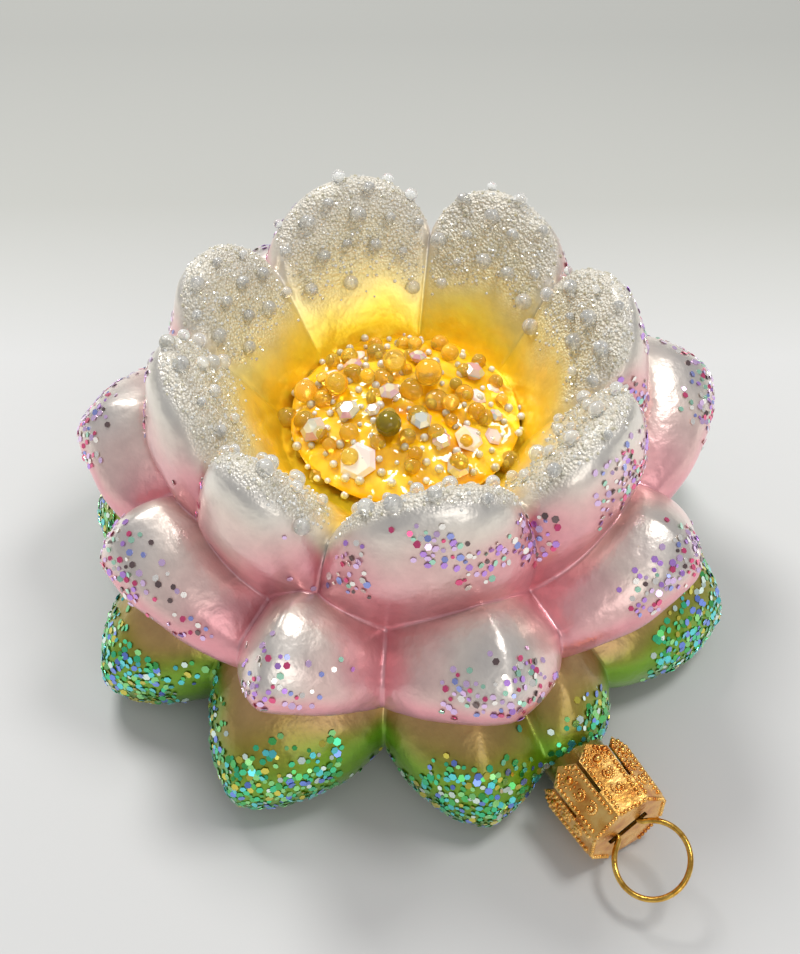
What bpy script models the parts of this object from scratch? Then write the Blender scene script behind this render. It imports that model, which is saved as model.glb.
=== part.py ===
"""Water-lily hanging ornament of mouth-blown glass, lying on its foot with its capped neck to the side.

Metres, +Z up. The origin is the middle of the flat foot, on the flower's own axis, and the neck points along +X.
"""

import math

import bmesh
import bpy
from mathutils import Matrix, Vector

MM = 0.001

# The flower is three tiers of hollow lobes round one axis: cupped petals, spread petals and leaves. Its mould was
# carved by hand, so each lobe has its own place. A row is a lobe's tip, then the crease that follows it
# anticlockwise, each as angle from +X in degrees, distance from the axis and height above the foot in millimetres.
CUPPED = (
    ((-19, 29.3, 49.9), (2, 27.0, 39.5)),
    ((31, 30.4, 49.2), (49, 27.0, 40.5)),
    ((72, 29.8, 50.0), (95, 27.2, 42.0)),
    ((121, 30.4, 50.3), (140, 27.2, 42.0)),
    ((163, 30.8, 50.6), (191, 26.8, 40.8)),
    ((213, 30.2, 49.8), (231, 28.0, 40.8)),
    ((251, 30.2, 50.0), (275, 28.4, 38.5)),
    ((290, 30.6, 49.4), (310, 27.6, 36.5)),
)
SPREAD = (
    ((-14, 47.4, 27.8), (2, 38.2, 22.4)),
    ((27, 46.0, 28.4), (47, 37.4, 22.6)),
    ((74, 47.6, 27.6), (100, 38.0, 22.6)),
    ((126, 46.0, 28.0), (153, 38.2, 22.6)),
    ((180, 45.6, 28.0), (209, 38.4, 22.6)),
    ((238, 46.0, 28.2), (256, 39.2, 22.6)),
    ((269, 45.4, 28.0), (297, 39.6, 22.0)),
    ((307, 46.8, 27.6), (325.5, 39.2, 22.0)),
)
LEAVES = (
    ((-17, 49.2, 5.5), (-6.0, 45.0, 6.6)),
    ((1, 47.2, 6.4), (14.5, 39.8, 7.2)),
    ((41, 49.2, 5.8), (62, 37.0, 7.5)),
    ((84, 47.4, 5.4), (104, 37.0, 7.5)),
    ((124, 48.6, 5.6), (143, 37.0, 7.5)),
    ((162, 49.0, 5.4), (181, 37.0, 7.5)),
    ((200, 48.4, 5.5), (217, 37.0, 7.5)),
    ((233, 47.4, 5.5), (251, 37.4, 7.5)),
    ((271, 49.4, 5.6), (287, 38.0, 7.5)),
    ((303, 49.8, 5.5), (325.5, 37.4, 7.5)),
)

# A tier's section runs over the lobe from its top down, through the same stations at a tip and at a crease. A row
# is the distance and height at a tip, the same at a crease, and how far the station follows its own lobe's size.
CUPPED_SECTION = (
    (16.5, 29.6, 16.9, 29.6, 0.0),
    (19.0, 34.2, 19.4, 32.8, 0.1),
    (23.0, 41.0, 22.6, 36.8, 0.4),
    (27.0, 47.6, 25.2, 39.8, 0.9),
    (30.0, 50.3, 26.8, 40.9, 1.0),
    (32.7, 48.0, 28.4, 40.1, 1.0),
    (34.2, 42.5, 30.2, 37.4, 0.7),
    (34.8, 37.0, 31.4, 34.0, 0.4),
)
SPREAD_SECTION = (
    (36.7, 34.4, 34.4, 25.8, 0.2),
    (41.0, 33.9, 36.8, 25.2, 0.6),
    (44.8, 31.5, 38.6, 24.4, 0.9),
    (47.0, 27.8, 39.4, 22.3, 1.0),
    (45.8, 24.0, 39.0, 19.4, 0.9),
    (41.4, 21.2, 36.8, 17.9, 0.6),
    (36.2, 20.2, 34.0, 17.7, 0.2),
)
LEAF_SECTION = (
    (36.5, 18.8, 33.2, 15.4, 0.1),
    (41.5, 17.0, 35.2, 12.6, 0.4),
    (45.9, 13.7, 36.8, 10.2, 0.8),
    (48.9, 9.7, 37.6, 7.9, 1.0),
    (50.0, 5.4, 37.4, 5.3, 1.0),
    (48.7, 2.0, 36.2, 2.8, 0.9),
    (44.6, 0.4, 33.6, 0.9, 0.5),
    (38.0, 0.0, 30.5, 0.0, 0.1),
)
CUPPED_CREST, SPREAD_CREST, LEAF_CREST = 4, 3, 4
# A lobe's outline from tip to crease: the larger the first number the blunter the tip.
CUPPED_OUTLINE, SPREAD_OUTLINE, LEAF_OUTLINE = (2.0, 0.66), (1.35, 0.92), (1.4, 0.92)
# Between the cupped and the spread petals is a valley, and between these and the leaves a waist. Each row is the
# distance and height under a spread petal's crease, then what its tip adds, then what a cupped crease adds.
VALLEY = ((32.4, 26.5), (1.6, 6.3), (-1.8, 0.0))
WAIST = ((31.3, 18.0), (0.7, 1.2), (0.0, 0.0))

SECTIONS_ROUND = 180
STEPS_PER_STATION = 4
GLASS_TRIANGLES = 3400
WALL = 0.0009
FOOT_FLAT = 0.00005

# Neck, cap and hanger share one axis, parallel to +X.
AXIS_HEIGHT = 0.0064
NECK_RADIUS = 0.0043
NECK_ROOT = 0.0400
NECK_END = 0.0567
CAP_SHEET = 0.00035
CAP_SIDES = 8
CAP_TOP = 0.0574
CAP_MOUTH = 0.0470
CAP_TOP_APOTHEM = 0.0057
CAP_MOUTH_APOTHEM = 0.0062
SLIT_WIDTH = 0.0005
SLIT_LENGTH = 0.0066
TAB_POINT = 0.0017
SLOT = (0.0062, 0.0016)
WIRE_RADIUS = 0.00042
LOOP_RADIUS = 0.00495
LOOP_CENTRE = 0.0625
LOOP_LIFT = 0.0023
LOOP_TILT = math.radians(26)
LEG_TOP = 0.0570
LEG_END = 0.0462
LEG_OFFSETS = (0.00165, 0.00255)

# The adhesive in the cup, and the beads and stones set on it. Their gaps are those between separate pieces.
SEAT_GAP = 0.0003
BED_CENTRE = (-0.0010, 0.0014)
BED_RADIUS = 0.0144
BED_EDGE = 0.0010
BED_RISE = 0.0042
CUP_FLOOR = 0.0296
# Millimetres across and away on axes turned this far from the body's own.
JEWEL_TURN = math.radians(59)
AMBER_BEADS = (
    (-12.4, 3.6, 3.7),
    (-8.3, 3.3, 3.6),
    (-3.5, 12.2, 2.5),
    (-9.4, 10.2, 2.2),
    (-4.4, 4.2, 2.4),
    (-0.8, 6.3, 3.6),
    (2.0, 12.2, 2.3),
    (6.7, 9.9, 2.8),
    (3.6, 3.6, 4.2),
    (9.9, -1.2, 2.7),
    (6.6, -0.6, 2.6),
    (-9.2, -5.9, 2.2),
    (13.6, 2.6, 2.0),
    (7.4, 3.2, 2.0),
    (1.9, -8.4, 2.2),
    (-13.2, -0.3, 2.0),
)
OLIVE_BEAD = (-1.5, -4.7, 3.9)
CRYSTALS = (
    (9.9, 6.9, 3.5),
    (-6.5, 7.7, 2.9),
    (-11.4, -3.0, 4.0),
    (-6.9, -1.3, 3.4),
    (-1.5, 1.2, 3.0),
    (2.7, -3.6, 3.1),
    (5.3, -6.2, 2.8),
    (12.9, -0.3, 2.2),
    (-3.7, -1.6, 2.2),
    (7.4, -9.4, 3.4),
    (2.4, 9.0, 2.6),
)
CHIPS = (
    (-6.4, 11.3, 3.2),
    (-0.9, 9.7, 3.2),
    (-9.8, 7.1, 3.2),
    (9.1, -5.1, 4.2),
    (12.6, -3.6, 2.8),
    (10.5, 2.5, 3.0),
    (-5.6, -8.7, 5.6),
    (13.0, 5.5, 2.2),
)

for old in list(bpy.data.objects):
    bpy.data.objects.remove(old)

ornament = bpy.data.collections.new("water_lily_ornament")
cutters = bpy.data.collections.new("cutters")
bpy.context.scene.collection.children.link(ornament)
bpy.context.scene.collection.children.link(cutters)


def material(name, colour, roughness, metallic):
    made = bpy.data.materials.new(name)
    made.use_nodes = True
    shader = made.node_tree.nodes["Principled BSDF"]
    shader.inputs["Base Color"].default_value = (*colour, 1)
    shader.inputs["Roughness"].default_value = roughness
    shader.inputs["Metallic"].default_value = metallic
    return made


def mesh_of(bm, name):
    bmesh.ops.recalc_face_normals(bm, faces=bm.faces)
    made = bpy.data.meshes.new(name)
    bm.to_mesh(made)
    bm.free()
    return made


def piece(name, mesh, finish, smooth=True):
    made = bpy.data.objects.new(name, mesh)
    ornament.objects.link(made)
    mesh.materials.append(finish)
    if smooth:
        mesh.shade_smooth()
    return made


def cutter(name, mesh):
    made = bpy.data.objects.new(name, mesh)
    cutters.objects.link(made)
    made.hide_render = True
    made.display_type = "WIRE"
    return made


def combine(target, other, operation):
    step = target.modifiers.new(other.name, "BOOLEAN")
    step.object = other
    step.operation = operation
    step.solver = "EXACT"


def evaluated(source):
    """The object's modifiers applied, as a bmesh in its own space."""
    graph = bpy.context.evaluated_depsgraph_get()
    made = bmesh.new()
    made.from_object(source, graph)
    return made


# --- The blown glass flower -------------------------------------------------------------------------------------


def nearest_lobe(tier, angle):
    """The tip and crease either side of this angle, and the share of the way from that tip to that crease."""
    for index, (tip, crease) in enumerate(tier):
        before = tier[index - 1][1]
        start = (before[0] - tip[0]) % 360 - 360
        end = (crease[0] - tip[0]) % 360
        turn = (angle - tip[0] + 180) % 360 - 180
        if 0 <= turn <= end:
            return tip, crease, turn / end
        if start <= turn < 0:
            return tip, before, turn / start
    raise ValueError(f"no lobe at {angle} degrees")


def stations(tier, section, crest, outline, angle):
    """How near this angle is to a lobe's tip, from 0 to 1, and the tier's section there."""
    tip, crease, share = nearest_lobe(tier, angle)
    nearness = (1 - share ** outline[0]) ** outline[1]
    crest_tip, crest_crease = Vector(section[crest][0:2]), Vector(section[crest][2:4])
    points = []
    for tip_r, tip_z, crease_r, crease_z, follow in section:
        at_tip = Vector((tip_r, tip_z)) + follow * (Vector(tip[1:]) - crest_tip)
        at_crease = Vector((crease_r, crease_z)) + follow * (Vector(crease[1:]) - crest_crease)
        points.append(at_crease.lerp(at_tip, nearness))
    return nearness, points


def joint(rows, spread_nearness, cupped_nearness):
    base, for_tip, for_crease = (Vector(row) for row in rows)
    return base + spread_nearness * for_tip + (1 - cupped_nearness) * for_crease


def curve_through(points):
    """Catmull-Rom points from the first of these to the last."""
    padded = [2 * points[0] - points[1], *points, 2 * points[-1] - points[-2]]
    result = []
    for a, b, c, d in zip(padded, padded[1:], padded[2:], padded[3:]):
        for step in range(STEPS_PER_STATION):
            t = step / STEPS_PER_STATION
            bend = 2 * a - 5 * b + 4 * c - d
            twist = 3 * b - a - 3 * c + d
            result.append((2 * b + (c - a) * t + bend * t**2 + twist * t**3) / 2)
    return [*result, points[-1]]


def section_at(angle):
    """The flower's outline at this angle, from the edge of the cup's floor down to the edge of the foot."""
    cupped_nearness, cupped = stations(CUPPED, CUPPED_SECTION, CUPPED_CREST, CUPPED_OUTLINE, angle)
    spread_nearness, spread = stations(SPREAD, SPREAD_SECTION, SPREAD_CREST, SPREAD_OUTLINE, angle)
    leaf = stations(LEAVES, LEAF_SECTION, LEAF_CREST, LEAF_OUTLINE, angle)[1]
    valley = joint(VALLEY, spread_nearness, cupped_nearness)
    waist = joint(WAIST, spread_nearness, cupped_nearness)
    upper = curve_through([*cupped, valley])
    middle = curve_through([valley, *spread, waist])
    lower = curve_through([waist, *leaf])
    return [*upper, *middle[1:], *lower[1:]]


def flower_skin():
    """A loft between the sections all round, closed by the cup's floor and by the foot."""
    bm = bmesh.new()
    rings = []
    for index in range(SECTIONS_ROUND):
        angle = 360 * index / SECTIONS_ROUND
        across, along = MM * math.cos(math.radians(angle)), MM * math.sin(math.radians(angle))
        points = section_at(angle)
        rings.append([bm.verts.new((p.x * across, p.x * along, p.y * MM)) for p in points])
    for last, here in zip([rings[-1], *rings], rings):
        for a, b, c, d in zip(last, last[1:], here[1:], here):
            bm.faces.new((a, b, c, d))
    bm.faces.new([ring[0] for ring in rings])
    bm.faces.new([ring[-1] for ring in reversed(rings)])
    return mesh_of(bm, "flower_skin")


def neck_rod():
    bm = bmesh.new()
    length = NECK_END + SEAT_GAP - NECK_ROOT
    place = Matrix.Translation((NECK_ROOT + length / 2, 0, AXIS_HEIGHT)) @ Matrix.Rotation(math.pi / 2, 4, "Y")
    bmesh.ops.create_cone(
        bm, cap_ends=True, segments=32, radius1=NECK_RADIUS, radius2=NECK_RADIUS, depth=length, matrix=place
    )
    return mesh_of(bm, "neck_rod")


def add_blown_glass(finish):
    """The flower's skin and its neck as one body, cut off at the neck's open end and given the glass's wall."""
    form = cutter("flower_form", flower_skin())
    combine(form, cutter("neck_rod", neck_rod()), "UNION")
    bm = evaluated(form)
    bmesh.ops.triangulate(bm, faces=bm.faces)
    triangles = len(bm.faces)
    form.modifiers.clear()
    bm.to_mesh(form.data)
    bm.free()
    coarser = form.modifiers.new("coarser", "DECIMATE")
    coarser.ratio = GLASS_TRIANGLES / triangles
    bm = evaluated(form)
    everything = bm.verts[:] + bm.edges[:] + bm.faces[:]
    bmesh.ops.bisect_plane(
        bm, geom=everything, plane_co=(NECK_END, 0, 0), plane_no=(1, 0, 0), clear_outer=True
    )
    for vertex in bm.verts:
        if vertex.co.z < FOOT_FLAT:
            vertex.co.z = 0
    glass = piece("blown_glass_flower", mesh_of(bm, "blown_glass_flower"), finish)
    wall = glass.modifiers.new("wall", "SOLIDIFY")
    wall.thickness = WALL
    wall.offset = -1
    form.modifiers.clear()


# --- The crown cap ----------------------------------------------------------------------------------------------


def frustum(name, apothems, ends):
    """A flat-sided cone round the neck's axis, from its mouth end to its top end."""
    bm = bmesh.new()
    mouth, top = (apothem / math.cos(math.pi / CAP_SIDES) for apothem in apothems)
    turn = Matrix.Rotation(math.pi / 2, 4, "Y") @ Matrix.Rotation(math.pi / CAP_SIDES, 4, "Z")
    place = Matrix.Translation((sum(ends) / 2, 0, AXIS_HEIGHT)) @ turn
    bmesh.ops.create_cone(
        bm, cap_ends=True, segments=CAP_SIDES, radius1=mouth, radius2=top, depth=ends[1] - ends[0], matrix=place
    )
    return mesh_of(bm, name)


def slit_cutter(side):
    """An arrow-shaped slit down one corner of the cap. Eight of these leave its sides as pointed tabs."""
    bm = bmesh.new()
    reach = CAP_MOUTH_APOTHEM * math.tan(math.pi / CAP_SIDES)
    before = CAP_MOUTH - TAB_POINT
    outline = (
        (before, -2 * reach),
        (CAP_MOUTH + TAB_POINT, -SLIT_WIDTH / 2),
        (CAP_MOUTH + SLIT_LENGTH, -SLIT_WIDTH / 2),
        (CAP_MOUTH + SLIT_LENGTH, SLIT_WIDTH / 2),
        (CAP_MOUTH + TAB_POINT, SLIT_WIDTH / 2),
        (before, 2 * reach),
    )
    corner = Matrix.Rotation((side + 0.5) * math.tau / CAP_SIDES, 4, "X")
    place = Matrix.Translation((0, 0, AXIS_HEIGHT)) @ corner
    near, far = CAP_TOP_APOTHEM * 0.8, CAP_MOUTH_APOTHEM * 1.3
    inner = [bm.verts.new(place @ Vector((x, y, near))) for x, y in outline]
    outer = [bm.verts.new(place @ Vector((x, y, far))) for x, y in outline]
    bm.faces.new(inner)
    bm.faces.new(outer)
    for a, b, c, d in zip(inner, inner[1:] + inner[:1], outer[1:] + outer[:1], outer):
        bm.faces.new((a, b, c, d))
    return mesh_of(bm, f"slit_{side}")


def slot_cutter():
    bm = bmesh.new()
    size = Matrix.Diagonal((4 * CAP_SHEET, *SLOT, 1))
    tilt = Matrix.Rotation(LOOP_TILT, 4, "X")
    bmesh.ops.create_cube(bm, size=1, matrix=Matrix.Translation((CAP_TOP, 0, AXIS_HEIGHT)) @ tilt @ size)
    return mesh_of(bm, "slot")


def add_crown_cap(finish):
    outside = frustum("crown_cap", (CAP_MOUTH_APOTHEM, CAP_TOP_APOTHEM), (CAP_MOUTH, CAP_TOP))
    cap = piece("crown_cap", outside, finish, smooth=False)
    inner_apothems = (CAP_MOUTH_APOTHEM - CAP_SHEET, CAP_TOP_APOTHEM - CAP_SHEET)
    taper = (inner_apothems[0] - inner_apothems[1]) / (CAP_TOP - CAP_MOUTH)
    mouth_end = CAP_MOUTH - CAP_SHEET
    hollow = frustum(
        "cap_hollow", (inner_apothems[0] + taper * CAP_SHEET, inner_apothems[1]), (mouth_end, CAP_TOP - CAP_SHEET)
    )
    combine(cap, cutter("cap_hollow", hollow), "DIFFERENCE")
    for side in range(CAP_SIDES):
        combine(cap, cutter(f"slit_{side}", slit_cutter(side)), "DIFFERENCE")
    combine(cap, cutter("slot", slot_cutter()), "DIFFERENCE")


# --- The spring-wire hanger -------------------------------------------------------------------------------------


def hanger_path():
    """Half of the wire in its own plane, from the end of a leg to the middle of the loop: along, then across."""
    start = math.asin(LOOP_LIFT / LOOP_RADIUS)
    loop_foot = Vector((LOOP_CENTRE - LOOP_RADIUS * math.cos(start), LOOP_LIFT))
    down = Vector((-math.sin(start), -math.cos(start)))
    bend = loop_foot + down * (LOOP_LIFT - LEG_OFFSETS[0]) / math.cos(start)
    leg_top = Vector((LEG_TOP, LEG_OFFSETS[0]))
    points = [Vector((LEG_END, LEG_OFFSETS[1])), leg_top]
    for t in (0.25, 0.5, 0.75):
        points.append((1 - t) ** 2 * leg_top + 2 * t * (1 - t) * bend + t**2 * loop_foot)
    steps = 20
    for step in range(steps + 1):
        angle = math.pi - start - (math.pi - start) * step / steps
        points.append(Vector((LOOP_CENTRE + LOOP_RADIUS * math.cos(angle), LOOP_RADIUS * math.sin(angle))))
    return points


def add_hanger(finish):
    half = hanger_path()
    flat = half + [Vector((p.x, -p.y)) for p in reversed(half[:-1])]
    curve = bpy.data.curves.new("hanger_wire", "CURVE")
    curve.dimensions = "3D"
    curve.bevel_depth = WIRE_RADIUS
    curve.bevel_resolution = 2
    curve.use_fill_caps = True
    wire = curve.splines.new("POLY")
    wire.points.add(len(flat) - 1)
    for point, place in zip(wire.points, flat):
        across, up = place.y * math.cos(LOOP_TILT), place.y * math.sin(LOOP_TILT)
        point.co = (place.x, across, AXIS_HEIGHT + up, 1)
    made = bpy.data.objects.new("hanger_wire", curve)
    curve.materials.append(finish)
    ornament.objects.link(made)


# --- The jewelled middle ----------------------------------------------------------------------------------------


def turned(name, profile, steps, finish, smooth):
    """A solid turned round Z from a profile that runs down its outer side."""
    mesh = bpy.data.meshes.new(name)
    mesh.from_pydata([(x, 0, z) for x, z in profile], [(i, i + 1) for i in range(len(profile) - 1)], [])
    made = piece(name, mesh, finish, smooth)
    screw = made.modifiers.new("turn", "SCREW")
    screw.steps = steps
    screw.render_steps = steps
    screw.use_merge_vertices = True
    screw.merge_threshold = 0.0001
    screw.use_smooth_shade = smooth
    return made


DOME_RADIUS = (BED_RADIUS**2 + BED_RISE**2) / (2 * BED_RISE)
DOME_TOP = CUP_FLOOR + SEAT_GAP + BED_EDGE + BED_RISE


def add_bed(finish):
    half_angle = math.asin(BED_RADIUS / DOME_RADIUS)
    steps = 6
    profile = []
    for step in range(steps + 1):
        angle = half_angle * step / steps
        profile.append((DOME_RADIUS * math.sin(angle), DOME_TOP - DOME_RADIUS * (1 - math.cos(angle))))
    bottom = CUP_FLOOR + SEAT_GAP
    profile += [(BED_RADIUS, bottom), (0, bottom)]
    bed = turned("adhesive_bed", profile, 40, finish, smooth=False)
    bed.location = (*BED_CENTRE, 0)


def place_on_bed(jewel, across, away, height):
    """Stands a jewel on the bed's dome, its own Z square to the dome and its origin this far above the gap."""
    spot = Matrix.Rotation(JEWEL_TURN, 3, "Z") @ Vector((across * MM, away * MM, 0))
    spot -= Vector((*BED_CENTRE, 0))
    up = Vector((spot.x, spot.y, math.sqrt(DOME_RADIUS**2 - spot.x**2 - spot.y**2))).normalized()
    centre = Vector((*BED_CENTRE, DOME_TOP - DOME_RADIUS))
    jewel.location = centre + up * (DOME_RADIUS + SEAT_GAP + height)
    jewel.rotation_euler = up.to_track_quat("Z", "Y").to_euler()


def add_bead(name, across, away, size, finish):
    bm = bmesh.new()
    radius = size * MM / 2
    bmesh.ops.create_icosphere(bm, subdivisions=2, radius=radius)
    place_on_bed(piece(name, mesh_of(bm, name), finish), across, away, radius)


def add_crystal(name, across, away, size, finish):
    """A six-sided stone with a table, a crown and a blunt pavilion."""
    r = size * MM / 2
    profile = ((0, 0.75 * r), (0.55 * r, 0.75 * r), (r, 0.4 * r), (r, 0.25 * r), (0.5 * r, -0.3 * r), (0, -0.3 * r))
    place_on_bed(turned(name, profile, 6, finish, smooth=False), across, away, 0.3 * r)


def add_chip(name, across, away, size, finish):
    """A flat six-sided sequin-like stone with a bevelled edge."""
    r = size * MM / 2
    profile = ((0, 0.3 * r), (0.75 * r, 0.3 * r), (r, 0.1 * r), (0.9 * r, -0.1 * r), (0, -0.1 * r))
    place_on_bed(turned(name, profile, 6, finish, smooth=False), across, away, 0.1 * r)


add_blown_glass(material("silvered_glass", (0.86, 0.66, 0.70), 0.25, 0.3))
gilt = material("gilt_brass", (0.83, 0.58, 0.22), 0.28, 1.0)
add_crown_cap(gilt)
add_hanger(gilt)
add_bed(material("amber_adhesive", (0.90, 0.50, 0.03), 0.15, 0.0))
amber = material("amber_glass", (0.95, 0.60, 0.05), 0.08, 0.0)
for number, row in enumerate(AMBER_BEADS, 1):
    add_bead(f"amber_bead_{number:02}", *row, amber)
add_bead("olive_bead", *OLIVE_BEAD, material("olive_glass", (0.35, 0.33, 0.05), 0.1, 0.0))
crystal = material("iridescent_crystal", (0.85, 0.90, 0.80), 0.08, 0.0)
for number, row in enumerate(CRYSTALS, 1):
    add_crystal(f"crystal_{number:02}", *row, crystal)
pale = material("pale_stone", (0.92, 0.82, 0.76), 0.3, 0.0)
for number, row in enumerate(CHIPS, 1):
    add_chip(f"pale_chip_{number:02}", *row, pale)
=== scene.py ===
import math

import bmesh
import bpy
import numpy as np
from mathutils import Matrix, Vector, noise


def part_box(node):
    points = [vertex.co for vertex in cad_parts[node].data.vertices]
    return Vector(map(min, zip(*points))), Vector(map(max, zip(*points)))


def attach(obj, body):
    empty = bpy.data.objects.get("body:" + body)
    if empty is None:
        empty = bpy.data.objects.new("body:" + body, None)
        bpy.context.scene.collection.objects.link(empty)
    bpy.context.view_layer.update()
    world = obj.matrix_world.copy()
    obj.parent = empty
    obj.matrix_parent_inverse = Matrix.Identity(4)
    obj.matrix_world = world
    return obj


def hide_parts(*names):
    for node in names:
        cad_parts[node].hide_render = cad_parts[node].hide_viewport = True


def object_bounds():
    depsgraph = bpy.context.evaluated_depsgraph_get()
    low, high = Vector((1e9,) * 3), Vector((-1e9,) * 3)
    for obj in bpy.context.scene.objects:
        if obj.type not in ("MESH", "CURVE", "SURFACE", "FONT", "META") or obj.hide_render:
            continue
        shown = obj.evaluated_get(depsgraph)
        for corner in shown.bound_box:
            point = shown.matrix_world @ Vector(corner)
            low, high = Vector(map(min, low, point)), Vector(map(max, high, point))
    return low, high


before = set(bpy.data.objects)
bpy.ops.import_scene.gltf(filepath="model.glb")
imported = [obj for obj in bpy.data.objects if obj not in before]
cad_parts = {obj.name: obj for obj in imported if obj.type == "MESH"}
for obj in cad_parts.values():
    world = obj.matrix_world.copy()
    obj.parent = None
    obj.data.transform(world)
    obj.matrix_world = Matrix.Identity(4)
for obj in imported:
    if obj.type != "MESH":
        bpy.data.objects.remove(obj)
CAD_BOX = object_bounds()

# --- Table, light and camera ------------------------------------------------------------------------------
# The ornament lies on a sheet of white paper, with shade painted on it that greys it further back, in the even
# light of a white tent, with two lamps behind it and a weak one in front. The camera looks down at it over the
# neck.
scene = bpy.context.scene
scene.view_settings.view_transform = "Standard"

VIEW_TURN = math.radians(59)
VIEW_RISE = math.radians(47.6)
VIEW_DISTANCE = 0.1995
LOOKED_AT = Vector((0, 0, 0.028))
SENSOR = 36
FOCAL_WIDTHS = 1.75


def toward(turn, rise):
    """The direction from the ornament to something at this turn round it and rise above the table."""
    return Vector((math.sin(turn) * math.cos(rise), -math.cos(turn) * math.cos(rise), math.sin(rise)))


camera_data = bpy.data.cameras.new("camera")
camera_data.sensor_fit = "HORIZONTAL"
camera_data.sensor_width = SENSOR
camera_data.lens = SENSOR * FOCAL_WIDTHS
camera_data.shift_x = -0.001
camera_data.shift_y = -0.050
camera_data.clip_start = 0.005
camera = bpy.data.objects.new("camera", camera_data)
camera.location = LOOKED_AT + toward(VIEW_TURN, VIEW_RISE) * VIEW_DISTANCE
camera.rotation_euler = toward(VIEW_TURN, VIEW_RISE).to_track_quat("Z", "Y").to_euler()
scene.collection.objects.link(camera)
scene.camera = camera


def add_lamp(name, turn, rise, distance, width, power, colour=(1, 1, 1)):
    data = bpy.data.lights.new(name, "AREA")
    data.shape = "DISK"
    data.size = width
    data.energy = power
    data.color = colour
    lamp = bpy.data.objects.new(name, data)
    direction = toward(VIEW_TURN + math.radians(turn), math.radians(rise))
    lamp.location = direction * distance
    lamp.rotation_euler = direction.to_track_quat("Z", "Y").to_euler()
    scene.collection.objects.link(lamp)


add_lamp("window", -150, 52, 0.60, 0.22, 2.4)
add_lamp("ceiling", 100, 66, 0.60, 0.16, 1.3)
add_lamp("front_fill", 20, 30, 0.80, 0.50, 1.2, (1.0, 0.98, 0.95))

world = bpy.data.worlds.new("white_tent")
scene.world = world
world.use_nodes = True
world.node_tree.nodes["Background"].inputs["Color"].default_value = (0.93, 0.95, 1.0, 1)
world.node_tree.nodes["Background"].inputs["Strength"].default_value = 0.46


def node_adder(tree):
    """A function that adds a node to this tree, with these settings, and values or links on its inputs."""

    def add(kind, values=None, **settings):
        node = tree.nodes.new(kind)
        for key, value in settings.items():
            setattr(node, key, value)
        for key, value in (values or {}).items():
            if isinstance(value, bpy.types.NodeSocket):
                tree.links.new(value, node.inputs[key])
            else:
                node.inputs[key].default_value = value
        return node

    return add


def new_material(name):
    """A material, its shader, a function that adds nodes, and one that wires an output to the shader."""
    made = bpy.data.materials.new(name)
    made.use_nodes = True
    tree = made.node_tree
    shader = tree.nodes["Principled BSDF"]

    def wire(output, socket):
        tree.links.new(output, shader.inputs[socket])

    return made, shader, node_adder(tree), wire


def add_ramp(add, factor, stops):
    """A colour ramp of (place, linear colour) stops."""
    node = add("ShaderNodeValToRGB", {"Fac": factor})
    while len(node.color_ramp.elements) < len(stops):
        node.color_ramp.elements.new(0.5)
    for element, (place, colour) in zip(node.color_ramp.elements, stops):
        element.position = place
        element.color = (*colour, 1)
    return node


def paint(red, green, blue):
    """A linear colour from the 0 to 255 values of a paint chart."""
    return tuple(((c / 255 + 0.055) / 1.055) ** 2.4 if c > 10 else c / 3295 for c in (red, green, blue))


PAPER_HALF = 3.0
PAPER_DROP = 0.0002
SHADE_FADE_START, SHADE_FADE_END = 0.045, 0.150
CAMERA_SHADE_DIM = 0.73
paper_mesh = bpy.data.meshes.new("paper")
paper_height = CAD_BOX[0][2] - PAPER_DROP
corners = ((-1, -1), (1, -1), (1, 1), (-1, 1))
edge_points = [(x * PAPER_HALF, y * PAPER_HALF, paper_height) for x, y in corners]
paper_mesh.from_pydata(edge_points, [], [(0, 1, 2, 3)])
paper = bpy.data.objects.new("paper", paper_mesh)
scene.collection.objects.link(paper)
paper_finish, shader, add, wire = new_material("paper")
where = add("ShaderNodeTexCoord").outputs["Object"]
away = add("ShaderNodeVectorMath", {0: where, 1: -toward(VIEW_TURN, 0)}, operation="DOT_PRODUCT")
shade_fade = {"Value": away.outputs["Value"], "From Min": SHADE_FADE_START, "From Max": SHADE_FADE_END}
share = add("ShaderNodeMapRange", shade_fade).outputs["Result"]
# Painted shade: the white paper's colour greys from front to back, standing in for the light falling off behind
# the ornament.
painted_shade_greys = (
    (0.0, paint(232, 232, 229)),
    (0.16, paint(222, 222, 217)),
    (0.42, paint(203, 203, 196)),
    (1.0, paint(186, 186, 180)),
)
grey = add_ramp(add, share, painted_shade_greys).outputs["Color"]
# Painted shade: the camera sees the paper's colour dimmed, standing in for weaker light on it; other rays see
# it undimmed.
seen = add("ShaderNodeLightPath").outputs["Is Camera Ray"]
dim = (CAMERA_SHADE_DIM, CAMERA_SHADE_DIM, CAMERA_SHADE_DIM, 1)
dimmed = add("ShaderNodeMix", {0: seen, 6: grey, 7: dim}, data_type="RGBA", blend_type="MULTIPLY")
wire(dimmed.outputs[2], "Base Color")
shader.inputs["Roughness"].default_value = 0.75
shader.inputs["Specular IOR Level"].default_value = 0.15
paper_mesh.materials.append(paper_finish)


def keep(name, mesh, slot, *replaced):
    """A finished piece: on the one rigid body, standing for these CAD nodes. The slot is not used."""
    made = bpy.data.objects.new(name, mesh)
    scene.collection.objects.link(made)
    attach(made, "root")
    if replaced:
        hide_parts(*replaced)
    return made


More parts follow.
